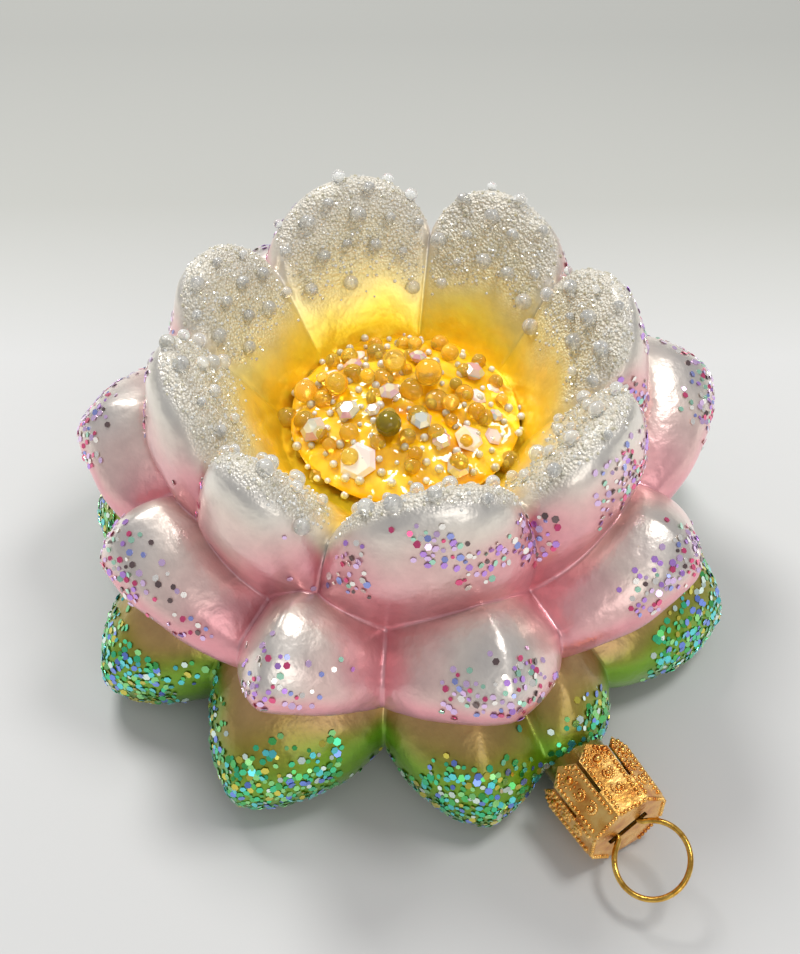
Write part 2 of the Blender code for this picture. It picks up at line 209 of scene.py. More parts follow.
# --- The blown glass flower -------------------------------------------------------------------------------
# One bubble of thin glass blown into a carved mould: eight cupped petals over eight spread ones over a ring of
# leaves, one of which runs into the neck. It is silvered inside, and lacquered outside in yellow, pearl white,
# pink and leaf green.
MM = 0.001
CUPPED = (
    ((-19, 29.3, 49.9), (2, 27.0, 39.5)),
    ((31, 30.4, 49.2), (49, 27.0, 40.5)),
    ((72, 29.8, 50.0), (95, 27.2, 42.0)),
    ((121, 30.4, 50.3), (140, 27.2, 42.0)),
    ((163, 30.8, 50.6), (191, 26.8, 40.8)),
    ((213, 30.2, 49.8), (231, 28.0, 40.8)),
    ((251, 30.2, 50.0), (275, 28.4, 38.5)),
    ((290, 30.6, 49.4), (310, 27.6, 36.5)),
)
SPREAD = (
    ((-14, 47.4, 27.8), (2, 38.2, 22.4)),
    ((27, 46.0, 28.4), (47, 37.4, 22.6)),
    ((74, 47.6, 27.6), (100, 38.0, 22.6)),
    ((126, 46.0, 28.0), (153, 38.2, 22.6)),
    ((180, 45.6, 28.0), (209, 38.4, 22.6)),
    ((238, 46.0, 28.2), (256, 39.2, 22.6)),
    ((269, 45.4, 28.0), (297, 39.6, 22.0)),
    ((307, 46.8, 27.6), (325.5, 39.2, 22.0)),
)
LEAVES = (
    ((-17, 49.2, 5.5), (-6.0, 45.0, 6.6)),
    ((1, 47.2, 6.4), (14.5, 39.8, 7.2)),
    ((41, 49.2, 5.8), (62, 37.0, 7.5)),
    ((84, 47.4, 5.4), (104, 37.0, 7.5)),
    ((124, 48.6, 5.6), (143, 37.0, 7.5)),
    ((162, 49.0, 5.4), (181, 37.0, 7.5)),
    ((200, 48.4, 5.5), (217, 37.0, 7.5)),
    ((233, 47.4, 5.5), (251, 37.4, 7.5)),
    ((271, 49.4, 5.6), (287, 38.0, 7.5)),
    ((303, 49.8, 5.5), (325.5, 37.4, 7.5)),
)
CUPPED_SECTION = (
    (16.5, 29.6, 16.9, 29.6, 0.0),
    (19.0, 34.2, 19.4, 32.8, 0.1),
    (23.0, 41.0, 22.6, 36.8, 0.4),
    (27.0, 47.6, 25.2, 39.8, 0.9),
    (30.0, 50.3, 26.8, 40.9, 1.0),
    (32.7, 48.0, 28.4, 40.1, 1.0),
    (34.2, 42.5, 30.2, 37.4, 0.7),
    (34.8, 37.0, 31.4, 34.0, 0.4),
)
SPREAD_SECTION = (
    (36.7, 34.4, 34.4, 25.8, 0.2),
    (41.0, 33.9, 36.8, 25.2, 0.6),
    (44.8, 31.5, 38.6, 24.4, 0.9),
    (47.0, 27.8, 39.4, 22.3, 1.0),
    (45.8, 24.0, 39.0, 19.4, 0.9),
    (41.4, 21.2, 36.8, 17.9, 0.6),
    (36.2, 20.2, 34.0, 17.7, 0.2),
)
LEAF_SECTION = (
    (36.5, 18.8, 33.2, 15.4, 0.1),
    (41.5, 17.0, 35.2, 12.6, 0.4),
    (45.9, 13.7, 36.8, 10.2, 0.8),
    (48.9, 9.7, 37.6, 7.9, 1.0),
    (50.0, 5.4, 37.4, 5.3, 1.0),
    (48.7, 2.0, 36.2, 2.8, 0.9),
    (44.6, 0.4, 33.6, 0.9, 0.5),
    (38.0, 0.0, 30.5, 0.0, 0.1),
)
CUPPED_CREST, SPREAD_CREST, LEAF_CREST = 4, 3, 4
CUPPED_OUTLINE, SPREAD_OUTLINE, LEAF_OUTLINE = (2.0, 0.66), (1.35, 0.92), (1.4, 0.92)
VALLEY = ((32.4, 26.5), (1.6, 6.3), (-1.8, 0.0))
WAIST = ((31.3, 18.0), (0.7, 1.2), (0.0, 0.0))
SECTIONS_ROUND = 576
STEPS_PER_STATION = 6


def nearest_lobe(tier, angle):
    """The tip and crease either side of this angle, and the share of the way from that tip to that crease."""
    for index, (tip, crease) in enumerate(tier):
        before = tier[index - 1][1]
        start = (before[0] - tip[0]) % 360 - 360
        end = (crease[0] - tip[0]) % 360
        turn = (angle - tip[0] + 180) % 360 - 180
        if 0 <= turn <= end:
            return tip, crease, turn / end
        if start <= turn < 0:
            return tip, before, turn / start
    raise ValueError(f"no lobe at {angle} degrees")


def stations(tier, section, crest, outline, angle):
    tip, crease, share = nearest_lobe(tier, angle)
    nearness = (1 - share ** outline[0]) ** outline[1]
    crest_tip, crest_crease = Vector(section[crest][0:2]), Vector(section[crest][2:4])
    points = []
    for tip_r, tip_z, crease_r, crease_z, follow in section:
        at_tip = Vector((tip_r, tip_z)) + follow * (Vector(tip[1:]) - crest_tip)
        at_crease = Vector((crease_r, crease_z)) + follow * (Vector(crease[1:]) - crest_crease)
        points.append(at_crease.lerp(at_tip, nearness))
    return nearness, share, points


def joint(rows, spread_nearness, cupped_nearness):
    base, for_tip, for_crease = (Vector(row) for row in rows)
    return base + spread_nearness * for_tip + (1 - cupped_nearness) * for_crease


def curve_through(points):
    """Catmull-Rom points from the first of these to the last."""
    padded = [2 * points[0] - points[1], *points, 2 * points[-1] - points[-2]]
    result = []
    for a, b, c, d in zip(padded, padded[1:], padded[2:], padded[3:]):
        for step in range(STEPS_PER_STATION):
            t = step / STEPS_PER_STATION
            bend = 2 * a - 5 * b + 4 * c - d
            twist = 3 * b - a - 3 * c + d
            result.append((2 * b + (c - a) * t + bend * t**2 + twist * t**3) / 2)
    return [*result, points[-1]]


def section_at(angle):
    """Points (distance, height, tier, share down the tier, share from tip to crease) from cup floor to foot."""
    cupped_near, cupped_share, cupped = stations(CUPPED, CUPPED_SECTION, CUPPED_CREST, CUPPED_OUTLINE, angle)
    spread_near, spread_share, spread = stations(SPREAD, SPREAD_SECTION, SPREAD_CREST, SPREAD_OUTLINE, angle)
    leaf_share, leaf = stations(LEAVES, LEAF_SECTION, LEAF_CREST, LEAF_OUTLINE, angle)[1:]
    valley = joint(VALLEY, spread_near, cupped_near)
    waist = joint(WAIST, spread_near, cupped_near)
    rows = []
    for tier, stops, share in (
        (0, [*cupped, valley], cupped_share),
        (1, [valley, *spread, waist], spread_share),
        (2, [waist, *leaf], leaf_share),
    ):
        line = curve_through(stops)
        first = 1 if tier else 0
        for index in range(first, len(line)):
            rows.append((line[index].x, line[index].y, tier, index / (len(line) - 1), share))
    return rows


def smoothstep(low, high, value):
    t = np.clip((value - low) / (high - low), 0, 1)
    return t * t * (3 - 2 * t)


grid = np.array([section_at(360 * k / SECTIONS_ROUND) for k in range(SECTIONS_ROUND)])
turn = np.radians(360 * np.arange(SECTIONS_ROUND) / SECTIONS_ROUND)[:, None]
distance, height, tier, down, off = (grid[:, :, k] for k in range(5))
places = np.stack([distance * np.cos(turn), distance * np.sin(turn), height], axis=2).reshape(-1, 3)
# The hot glass left the mould's carving soft, with slight waves, and a hammered skin on the leaves.
WAVE_DEPTH, WAVE_SCALE = 0.32, 0.16
HAMMER_DEPTH, HAMMER_SCALE = 0.10, 0.75
PETAL_HAMMER = 0.25
CALM_HEIGHT = 3
waves = np.array([noise.noise(Vector(p) * WAVE_SCALE) * WAVE_DEPTH for p in places])
hammered = np.array([noise.noise(Vector(p) * HAMMER_SCALE) * HAMMER_DEPTH for p in places])
on_leaf = tier.reshape(-1) == 2
in_bowl = (tier.reshape(-1) == 0) & (down.reshape(-1) < 0.5)
swell = waves + hammered * (PETAL_HAMMER + (1 - PETAL_HAMMER) * on_leaf)
swell = swell * np.clip(places[:, 2] / CALM_HEIGHT, 0, 1) * np.where(in_bowl, -1, 1)
outward = places * (1, 1, 0)
outward /= np.linalg.norm(outward, axis=1)[:, None]
places = (places + outward * swell[:, None]) * MM

CUP_FLOOR = 29.6
rings, rows = grid.shape[:2]
top, bottom = len(places), len(places) + 1
faces = []
edges = [(ring * rows, (ring + 1) % rings * rows) for ring in range(rings)]
for a, b in edges:
    faces += [(a + i, a + i + 1, b + i + 1, b + i) for i in range(rows - 1)]
faces += [(top, a, b) for a, b in edges]
faces += [(bottom, b + rows - 1, a + rows - 1) for a, b in edges]
flower_mesh = bpy.data.meshes.new("flower")
flower_mesh.from_pydata([*map(tuple, places), (0, 0, CUP_FLOOR * MM), (0, 0, 0)], [], faces)
flower_mesh.shade_smooth()


def give(mesh, name, values):
    """Stores one number for each vertex under this name."""
    mesh.attributes.new(name, "FLOAT", "POINT").data.foreach_set("value", np.asarray(values, np.float32))


def with_poles(layer, at_top, at_bottom):
    """A layer's values in the order of the mesh's vertices, which ends with the two poles."""
    return np.concatenate([layer.reshape(rings * rows, -1), [at_top], [at_bottom]])


def coats(first, *later):
    """One tier's lacquer: its first coat, then each colour over it as thickly as it is sprayed."""
    result = np.broadcast_to(first, (rings, rows, 3))
    for coat, thickness in later:
        result = result * (1 - thickness[..., None]) + np.array(coat) * thickness[..., None]
    return result


PATCH_SCALE = 140
patch = np.array([noise.noise(Vector(p) * PATCH_SCALE) for p in places]).reshape(rings, rows)
near = 1 - off
in_cup, in_spread, in_leaf = (tier == k for k in range(3))

YELLOW, CREAM, PEARL = paint(255, 222, 48), paint(248, 230, 160), paint(226, 218, 204)
PINK, ROSE, PALE_PINK = paint(228, 152, 162), paint(180, 76, 110), paint(230, 200, 192)
TAN, OLIVE = paint(196, 158, 104), paint(150, 134, 44)
LEAF_GREEN, DEEP_GREEN = paint(112, 160, 22), paint(62, 108, 8)
cup = coats(
    YELLOW,
    (CREAM, smoothstep(0.10, 0.27, down + 0.04 * patch)),
    (PEARL, smoothstep(0.22, 0.40, down + 0.05 * patch)),
    (PALE_PINK, smoothstep(0.60, 0.78, down + 0.06 * patch) * 0.7),
    (PINK, smoothstep(0.68, 1.0, down + 0.20 * off + 0.10 * patch) * 0.85),
    (PINK, smoothstep(0.60, 1.0, off) * smoothstep(0.56, 0.72, down) * 0.75),
)
spread = coats(
    PALE_PINK,
    (PEARL, smoothstep(0.35, 0.9, near + 0.3 * patch) * 0.75),
    (PINK, smoothstep(0.45, 0.95, off + 0.2 * patch) * 0.8),
    (PINK, smoothstep(0.40, 0.52, down + 0.03 * patch) * 0.9),
    (ROSE, smoothstep(0.52, 0.72, down)),
)
leaf = coats(
    TAN,
    (OLIVE, smoothstep(0.20, 0.42, down + 0.10 * patch)),
    (LEAF_GREEN, smoothstep(0.36, 0.56, down + 0.12 * off + 0.08 * patch)),
    (DEEP_GREEN, smoothstep(0.56, 0.84, down)),
)
lacquer = np.ones((rings, rows, 4))
for chosen, layer in ((in_cup, cup), (in_spread, spread), (in_leaf, leaf)):
    lacquer[chosen, :3] = layer[chosen]
lacquer_values = with_poles(lacquer, (*YELLOW, 1), (*DEEP_GREEN, 1))
lacquer_attribute = flower_mesh.attributes.new("lacquer", "FLOAT_COLOR", "POINT")
lacquer_attribute.data.foreach_set("color", lacquer_values.astype(np.float32).reshape(-1))

# How thickly each place is frosted, left as bare silver, or sprinkled with glitter.
frost = in_cup * smoothstep(0.17, 0.29, down + 0.05 * patch)
frost = frost * (1 - smoothstep(0.53, 0.60, down + 0.03 * patch)) * smoothstep(0.02, 0.22, near + 0.05 * patch)
under_rims = in_cup * smoothstep(0.52, 0.57, down) * (1 - smoothstep(0.60, 0.72, down))
ridges = in_spread * smoothstep(0.10, 0.3, down) * (1 - smoothstep(0.42, 0.5, down))
silver = under_rims * smoothstep(0.2, 0.6, near) + ridges * smoothstep(0.5, 0.9, near)
patches = in_cup * smoothstep(0.60, 0.66, down) * (1 - smoothstep(0.80, 0.90, down))
patches = patches * smoothstep(-0.05, 0.25, patch)
tips = in_spread * smoothstep(0.20, 0.42, down) * (1 - smoothstep(0.48, 0.56, down))
petal_glitter = patches + tips * smoothstep(0.25, 0.85, near + 0.5 * patch)
leaf_glitter = in_leaf * smoothstep(0.30, 0.50, down + 0.10 * patch) * (1 - smoothstep(0.66, 0.80, down))
leaf_glitter = leaf_glitter * smoothstep(0.05, 0.40, near + 0.35 * patch)
for name, layer in (
    ("frost", frost),
    ("silver", silver),
    ("petal_glitter", np.clip(petal_glitter, 0, 1)),
    ("leaf_glitter", np.clip(leaf_glitter, 0, 1)),
):
    give(flower_mesh, name, with_poles(layer, [0], [0]).reshape(-1))

# The neck is a plain tube inside the cap.
NECK_RADIUS, AXIS_HEIGHT = 0.0043, 0.0064
NECK_ROOT, NECK_END = 0.0400, 0.0567
NECK_SIDES = 48
neck = bmesh.new()
neck.from_mesh(flower_mesh)
neck_middle = Matrix.Translation(((NECK_ROOT + NECK_END) / 2, 0, AXIS_HEIGHT))
tube = bmesh.ops.create_cone(
    neck,
    cap_ends=True,
    segments=NECK_SIDES,
    radius1=NECK_RADIUS,
    radius2=NECK_RADIUS,
    depth=NECK_END - NECK_ROOT,
    matrix=neck_middle @ Matrix.Rotation(math.pi / 2, 4, "Y"),
)
lacquer_layer = neck.verts.layers.float_color["lacquer"]
for vertex in tube["verts"]:
    vertex[lacquer_layer] = (*OLIVE, 1)
neck.to_mesh(flower_mesh)
neck.free()

glass_finish, shader, add, wire = new_material("lacquered_glass")
sprayed = add("ShaderNodeAttribute", attribute_name="lacquer").outputs["Color"]
frosted = add("ShaderNodeAttribute", attribute_name="frost").outputs["Fac"]
silvered = add("ShaderNodeAttribute", attribute_name="silver").outputs["Fac"]
where = add("ShaderNodeTexCoord").outputs["Object"]
mottle = add("ShaderNodeTexNoise", {"Vector": where, "Scale": 260.0, "Detail": 4.0, "Roughness": 0.6})
tint = add_ramp(add, mottle.outputs["Fac"], ((0.30, (0.78, 0.75, 0.75)), (0.70, (1.12, 1.12, 1.10))))
tinted = add(
    "ShaderNodeMix", {0: 0.6, 6: sprayed, 7: tint.outputs["Color"]}, data_type="RGBA", blend_type="MULTIPLY"
)
grain = add("ShaderNodeTexVoronoi", {"Vector": where, "Scale": 2600.0})
snow = add_ramp(add, grain.outputs["Distance"], ((0.0, paint(252, 250, 240)), (0.75, paint(176, 168, 146))))
frost_share = add("ShaderNodeMath", {0: frosted, 1: 0.55}, operation="MULTIPLY").outputs[0]
snow_mix = {0: frost_share, 6: tinted.outputs[2], 7: snow.outputs["Color"]}
snowy = add("ShaderNodeMix", snow_mix, data_type="RGBA")
bare_share = add("ShaderNodeMath", {0: silvered, 1: 0.55}, operation="MULTIPLY").outputs[0]
bared = add("ShaderNodeMix", {0: bare_share, 6: snowy.outputs[2], 7: (0.75, 0.72, 0.68, 1)}, data_type="RGBA")
wire(bared.outputs[2], "Base Color")
satin = add("ShaderNodeMapRange", {"Value": frosted, "To Min": 0.30, "To Max": 0.50}).outputs[0]
spotted = add("ShaderNodeMath", {0: mottle.outputs["Fac"], 1: 0.12, 2: satin}, operation="MULTIPLY_ADD")
wire(spotted.outputs[0], "Roughness")
metal = add("ShaderNodeMapRange", {"Value": frosted, "To Min": 0.62, "To Max": 0.25}).outputs[0]
metal_share = add("ShaderNodeMath", {0: silvered, 1: 0.3, 2: metal}, operation="MULTIPLY_ADD", use_clamp=True)
wire(metal_share.outputs[0], "Metallic")
shader.inputs["Coat Weight"].default_value = 0.35
shader.inputs["Coat Roughness"].default_value = 0.12
dimple = add("ShaderNodeTexNoise", {"Vector": where, "Scale": 420.0, "Detail": 3.0})
dimples = add("ShaderNodeBump", {"Height": dimple.outputs["Fac"], "Strength": 0.45, "Distance": 0.0005})
crust_height = add("ShaderNodeMath", {0: grain.outputs["Distance"], 1: frosted}, operation="MULTIPLY")
crust = add(
    "ShaderNodeBump",
    {"Height": crust_height.outputs[0], "Strength": 0.8, "Distance": 0.0004, "Normal": dimples.outputs[0]},
    invert=True,
)
wire(crust.outputs[0], "Normal")
flower_mesh.materials.append(glass_finish)
keep("lily_glass", flower_mesh, "silvered_glass", "blown_glass_flower")

# --- Frosting, clear beads and glitter --------------------------------------------------------------------
# Crushed glass and small clear beads are sprinkled on wet varnish over the cupped petals' faces and rims, and
# six-sided foil glitter over the petals' tips and the leaves.


def sprinkle_tree(name, shape):
    """Sets copies of a small shape over a surface, as closely as the attribute named Mask allows."""
    tree = bpy.data.node_groups.new(name, "GeometryNodeTree")
    tree.is_modifier = True
    for title, kind, value in (
        ("Geometry", "Geometry", None),
        ("Mask", "String", "frost"),
        ("Spacing", "Float", 0.0005),
        ("Density", "Float", 1e6),
        ("Radius", "Float", 0.0003),
        ("Smallest", "Float", 0.6),
        ("Largest", "Float", 1.2),
        ("Lift", "Float", 0.0),
        ("Tilt", "Float", 0.3),
        ("Seed", "Int", 1),
        ("Finish", "Material", None),
    ):
        socket = tree.interface.new_socket(title, in_out="INPUT", socket_type="NodeSocket" + kind)
        if value is not None:
            socket.default_value = value
    tree.interface.new_socket("Geometry", in_out="OUTPUT", socket_type="NodeSocketGeometry")
    step = node_adder(tree)
    given = step("NodeGroupInput").outputs
    mask = step("GeometryNodeInputNamedAttribute", {"Name": given["Mask"]}, data_type="FLOAT")
    points = step(
        "GeometryNodeDistributePointsOnFaces",
        {
            "Mesh": given["Geometry"],
            "Distance Min": given["Spacing"],
            "Density Max": given["Density"],
            "Density Factor": mask.outputs["Attribute"],
            "Seed": given["Seed"],
        },
        distribute_method="POISSON",
    ).outputs
    rise = step("ShaderNodeVectorMath", {0: points["Normal"], "Scale": given["Lift"]}, operation="SCALE")
    lifted = step("GeometryNodeSetPosition", {"Geometry": points["Points"], "Offset": rise.outputs["Vector"]})
    back = step("ShaderNodeMath", {0: given["Tilt"], 1: -1}, operation="MULTIPLY").outputs[0]
    lean = step(
        "FunctionNodeRandomValue", {0: back, 1: given["Tilt"], "Seed": given["Seed"]}, data_type="FLOAT_VECTOR"
    )
    lean_turn = step("FunctionNodeEulerToRotation", {0: lean.outputs[0]}).outputs[0]
    turned = step(
        "FunctionNodeRotateRotation",
        {"Rotation": points["Rotation"], "Rotate By": lean_turn},
        rotation_space="LOCAL",
    )
    share = step(
        "FunctionNodeRandomValue",
        {2: given["Smallest"], 3: given["Largest"], "Seed": given["Seed"]},
        data_type="FLOAT",
    )
    size = step("ShaderNodeMath", {0: share.outputs[1], 1: given["Radius"]}, operation="MULTIPLY")
    placed = step(
        "GeometryNodeInstanceOnPoints",
        {
            "Points": lifted.outputs["Geometry"],
            "Instance": shape(step),
            "Rotation": turned.outputs["Rotation"],
            "Scale": size.outputs[0],
        },
    )
    pick = step("FunctionNodeRandomValue", {"Seed": 77}, data_type="FLOAT").outputs[1]
    picked = step(
        "GeometryNodeStoreNamedAttribute",
        {"Geometry": placed.outputs["Instances"], "Name": "pick", "Value": pick},
        data_type="FLOAT",
        domain="INSTANCE",
    )
    real = step("GeometryNodeRealizeInstances", {"Geometry": picked.outputs["Geometry"]}).outputs["Geometry"]
    finish = step("GeometryNodeSetMaterial", {"Geometry": real, "Material": given["Finish"]})
    step("NodeGroupOutput", {"Geometry": finish.outputs["Geometry"]})
    return tree


def grit(step):
    return step("GeometryNodeMeshIcoSphere", {"Radius": 1, "Subdivisions": 1}).outputs["Mesh"]


def round_bead(step):
    ball = step("GeometryNodeMeshIcoSphere", {"Radius": 1, "Subdivisions": 3})
    return step("GeometryNodeSetShadeSmooth", {"Geometry": ball.outputs["Mesh"]}).outputs["Geometry"]


def flake(step):
    return step("GeometryNodeMeshCylinder", {"Vertices": 6, "Radius": 1, "Depth": 0.12}).outputs["Mesh"]


def sprinkle(name, tree, surface, slot, finish, **values):
    """Sprinkles a surface by this tree and keeps what lies on it as one piece."""
    host = bpy.data.objects.new("host", surface)
    scene.collection.objects.link(host)
    modifier = host.modifiers.new("sprinkle", "NODES")
    modifier.node_group = tree
    for item in tree.interface.items_tree:
        if item.in_out == "INPUT" and item.name in values:
            modifier[item.identifier] = values[item.name]
        if item.name == "Finish":
            modifier[item.identifier] = finish
    made = bpy.data.meshes.new_from_object(host.evaluated_get(bpy.context.evaluated_depsgraph_get()))
    bpy.data.objects.remove(host)
    made.name = name
    keep(name, made, slot)


ice, shader, add, wire = new_material("crushed_glass")
pick = add("ShaderNodeAttribute", attribute_name="pick").outputs["Fac"]
ice_tones = ((0.0, paint(222, 214, 184)), (0.5, paint(246, 243, 230)), (1.0, paint(255, 255, 252)))
wire(add_ramp(add, pick, ice_tones).outputs["Color"], "Base Color")
shader.inputs["Roughness"].default_value = 0.12
shader.inputs["Metallic"].default_value = 0.15
shader.inputs["Transmission Weight"].default_value = 0.35
shader.inputs["IOR"].default_value = 1.5
clear, shader, add, wire = new_material("clear_bead_glass")
where = add("ShaderNodeTexCoord").outputs["Object"]
cloud = add("ShaderNodeTexNoise", {"Vector": where, "Scale": 900.0})
clear_tones = ((0.3, (0.90, 0.90, 0.87)), (0.7, (1.0, 1.0, 1.0)))
wire(add_ramp(add, cloud.outputs["Fac"], clear_tones).outputs["Color"], "Base Color")
shader.inputs["Roughness"].default_value = 0.03
shader.inputs["Transmission Weight"].default_value = 0.74
shader.inputs["IOR"].default_value = 1.5


def foil(name, stops):
    made, shader, add, wire = new_material(name)
    pick = add("ShaderNodeAttribute", attribute_name="pick").outputs["Fac"]
    tone = add_ramp(add, pick, stops)
    tone.color_ramp.interpolation = "CONSTANT"
    wire(tone.outputs["Color"], "Base Color")
    shader.inputs["Metallic"].default_value = 0.75
    shader.inputs["Roughness"].default_value = 0.22
    shader.inputs["Coat Weight"].default_value = 0.6
    return made


leaf_foil = foil(
    "leaf_foil",
    (
        (0.00, paint(60, 200, 140)),
        (0.18, paint(90, 210, 215)),
        (0.34, paint(110, 140, 225)),
        (0.46, paint(70, 180, 90)),
        (0.64, paint(205, 195, 70)),
        (0.76, paint(140, 215, 130)),
        (0.90, paint(215, 235, 225)),
    ),
)
petal_foil = foil(
    "petal_foil",
    (
        (0.00, paint(222, 190, 232)),
        (0.26, paint(190, 140, 225)),
        (0.44, paint(240, 235, 228)),
        (0.62, paint(225, 80, 130)),
        (0.74, paint(165, 215, 190)),
        (0.84, paint(150, 160, 225)),
        (0.93, paint(110, 90, 90)),
    ),
)
grit_tree, bead_tree = sprinkle_tree("grit", grit), sprinkle_tree("beads", round_bead)
flake_tree = sprinkle_tree("flakes", flake)
for name, tree, finish, values in (
    ("frosting", grit_tree, ice, dict(Mask="frost", Spacing=0.00042, Density=1.7e6, Radius=0.00026, Tilt=3.1)),
    ("clear_beads", bead_tree, clear, dict(Mask="frost", Spacing=0.0040, Radius=0.00105, Seed=5, Lift=0.0005)),
    (
        "leaf_glitter",
        flake_tree,
        leaf_foil,
        dict(Mask="leaf_glitter", Density=2.4e6, Spacing=0.00060, Radius=0.00050, Lift=0.00012, Seed=3),
    ),
    (
        "petal_glitter",
        flake_tree,
        petal_foil,
        dict(Mask="petal_glitter", Density=2.0e6, Spacing=0.00072, Radius=0.00044, Lift=0.00012, Seed=4),
    ),
):
    sprinkle(name, tree, flower_mesh, "silvered_glass", finish, **values)

# --- Beads, crystals and stones ---------------------------------------------------------------------------
# Amber beads and one olive bead of clear glass, faceted crystals with an iridescent coating, and flat pale
# stones are set by hand in the adhesive.


def smooth_copy(node):
    """A copy of a CAD node's mesh with its triangles merged and rounded."""
    merged = bmesh.new()
    merged.from_mesh(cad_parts[node].data)
    bmesh.ops.remove_doubles(merged, verts=merged.verts, dist=1e-6)
    rough = bpy.data.meshes.new(node + "_rough")
    merged.to_mesh(rough)
    merged.free()
    host = bpy.data.objects.new("host", rough)
    scene.collection.objects.link(host)
    smoother = host.modifiers.new("smooth", "SUBSURF")
    smoother.levels = smoother.render_levels = 2
    result = bpy.data.meshes.new_from_object(host.evaluated_get(bpy.context.evaluated_depsgraph_get()))
    bpy.data.objects.remove(host)
    result.shade_smooth()
    return result


def add_bead_glass(name, scale, tones, clarity, bending):
    """Coloured bead glass that swirls between two tones."""
    made, shader, add, wire = new_material(name)
    where = add("ShaderNodeTexCoord").outputs["Object"]
    swirl = add("ShaderNodeTexNoise", {"Vector": where, "Scale": scale, "Detail": 2.0})
    wire(add_ramp(add, swirl.outputs["Fac"], list(zip((0.3, 0.7), tones))).outputs["Color"], "Base Color")
    shader.inputs["Roughness"].default_value = 0.04
    shader.inputs["Transmission Weight"].default_value = clarity
    shader.inputs["IOR"].default_value = bending
    return made


amber = add_bead_glass("amber_bead_glass", 330.0, (paint(255, 204, 24), paint(255, 230, 110)), 0.72, 1.45)
olive = add_bead_glass("olive_bead_glass", 300.0, (paint(110, 100, 4), paint(170, 150, 30)), 0.5, 1.5)
crystal, shader, add, wire = new_material("iridescent_crystal")
facing = add("ShaderNodeNewGeometry").outputs["Normal"]
where = add("ShaderNodeTexCoord").outputs["Object"]
patchy = add("ShaderNodeTexVoronoi", {"Vector": where, "Scale": 330.0})
mixed = add("ShaderNodeVectorMath", {0: facing, 1: patchy.outputs["Color"]}, operation="ADD")
split = add("ShaderNodeSeparateXYZ", {0: mixed.outputs["Vector"]})
spin = add("ShaderNodeMath", {0: split.outputs["X"], 1: 0.9}, operation="MULTIPLY")
turned = add("ShaderNodeMath", {0: spin.outputs[0], 1: split.outputs["Y"]}, operation="ADD")
cycle = add("ShaderNodeMath", {0: turned.outputs[0], 1: 1.0}, operation="WRAP")
flashes = (
    (0.0, paint(250, 245, 225)),
    (0.22, paint(190, 250, 150)),
    (0.4, paint(235, 255, 245)),
    (0.58, paint(250, 190, 205)),
    (0.78, paint(255, 240, 190)),
    (1.0, paint(215, 235, 245)),
)
wire(add_ramp(add, cycle.outputs[0], flashes).outputs["Color"], "Base Color")
shader.inputs["Roughness"].default_value = 0.05
shader.inputs["Transmission Weight"].default_value = 0.35
shader.inputs["Metallic"].default_value = 0.15
stone, shader, add, wire = new_material("pale_stone")
where = add("ShaderNodeTexCoord").outputs["Object"]
cells = add("ShaderNodeTexVoronoi", {"Vector": where, "Scale": 170.0})
stone_tones = (
    (0.15, paint(255, 222, 120)),
    (0.4, paint(252, 226, 214)),
    (0.6, paint(250, 214, 214)),
    (0.85, paint(255, 240, 225)),
)
wire(add_ramp(add, cells.outputs["Color"], stone_tones).outputs["Color"], "Base Color")
shader.inputs["Roughness"].default_value = 0.18
shader.inputs["Coat Weight"].default_value = 0.5


def refinish(node, finish):
    """Gives a CAD node its real finish."""
    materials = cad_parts[node].data.materials
    materials.clear()
    materials.append(finish)


for node in sorted(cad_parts):
    if node.startswith("amber_bead") or node == "olive_bead":
        bead = smooth_copy(node)
        glass, slot = (olive, "olive_glass") if node == "olive_bead" else (amber, "amber_glass")
        made = keep(node + "_round", bead, slot, node)
        made.data.materials.append(glass)
    elif node.startswith(("crystal", "pale_chip")):
        refinish(node, crystal if node.startswith("crystal") else stone)

# --- Adhesive bed -----------------------------------------------------------------------------------------
# Clear amber adhesive, poured in the bottom of the cup and dried in ripples. Seed beads and loose amber beads
# fill the space between the jewels.
BED_SPREAD = 1.14
BED_RIM = 0.0008
bed_mesh = smooth_copy("adhesive_bed")
bed_low, bed_high = (Vector(corner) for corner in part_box("adhesive_bed"))
bed_centre = (bed_low + bed_high) / 2
for vertex in bed_mesh.vertices:
    vertex.co.x = bed_centre.x + (vertex.co.x - bed_centre.x) * BED_SPREAD
    vertex.co.y = bed_centre.y + (vertex.co.y - bed_centre.y) * BED_SPREAD
    ripple = noise.noise(vertex.co * 330) * 0.0009 + noise.noise(vertex.co * 900) * 0.0003
    if vertex.co.z > bed_low.z + BED_RIM:
        vertex.co.z += ripple
give(bed_mesh, "frost", [1.0] * len(bed_mesh.vertices))
resin, shader, add, wire = new_material("amber_adhesive")
where = add("ShaderNodeTexCoord").outputs["Object"]
depth = add("ShaderNodeTexNoise", {"Vector": where, "Scale": 190.0, "Detail": 3.0})
resin_tones = ((0.3, paint(236, 150, 4)), (0.5, paint(255, 196, 16)), (0.7, paint(255, 220, 70)))
wire(add_ramp(add, depth.outputs["Fac"], resin_tones).outputs["Color"], "Base Color")
shader.inputs["Roughness"].default_value = 0.07
shader.inputs["Coat Weight"].default_value = 0.8
wavy = add("ShaderNodeBump", {"Height": depth.outputs["Fac"], "Strength": 0.6, "Distance": 0.001})
wire(wavy.outputs[0], "Normal")
bed_mesh.materials.append(resin)
keep("amber_bed", bed_mesh, "amber_adhesive", "adhesive_bed")
for name, finish, values in (
    ("seed_beads", ice, dict(Spacing=0.0018, Radius=0.00055, Seed=9, Lift=0.0003)),
    ("amber_fill", amber, dict(Spacing=0.0036, Radius=0.0014, Seed=12, Lift=0.0005)),
):
    sprinkle(name, bead_tree, bed_mesh, "amber_adhesive", finish, Mask="frost", **values)

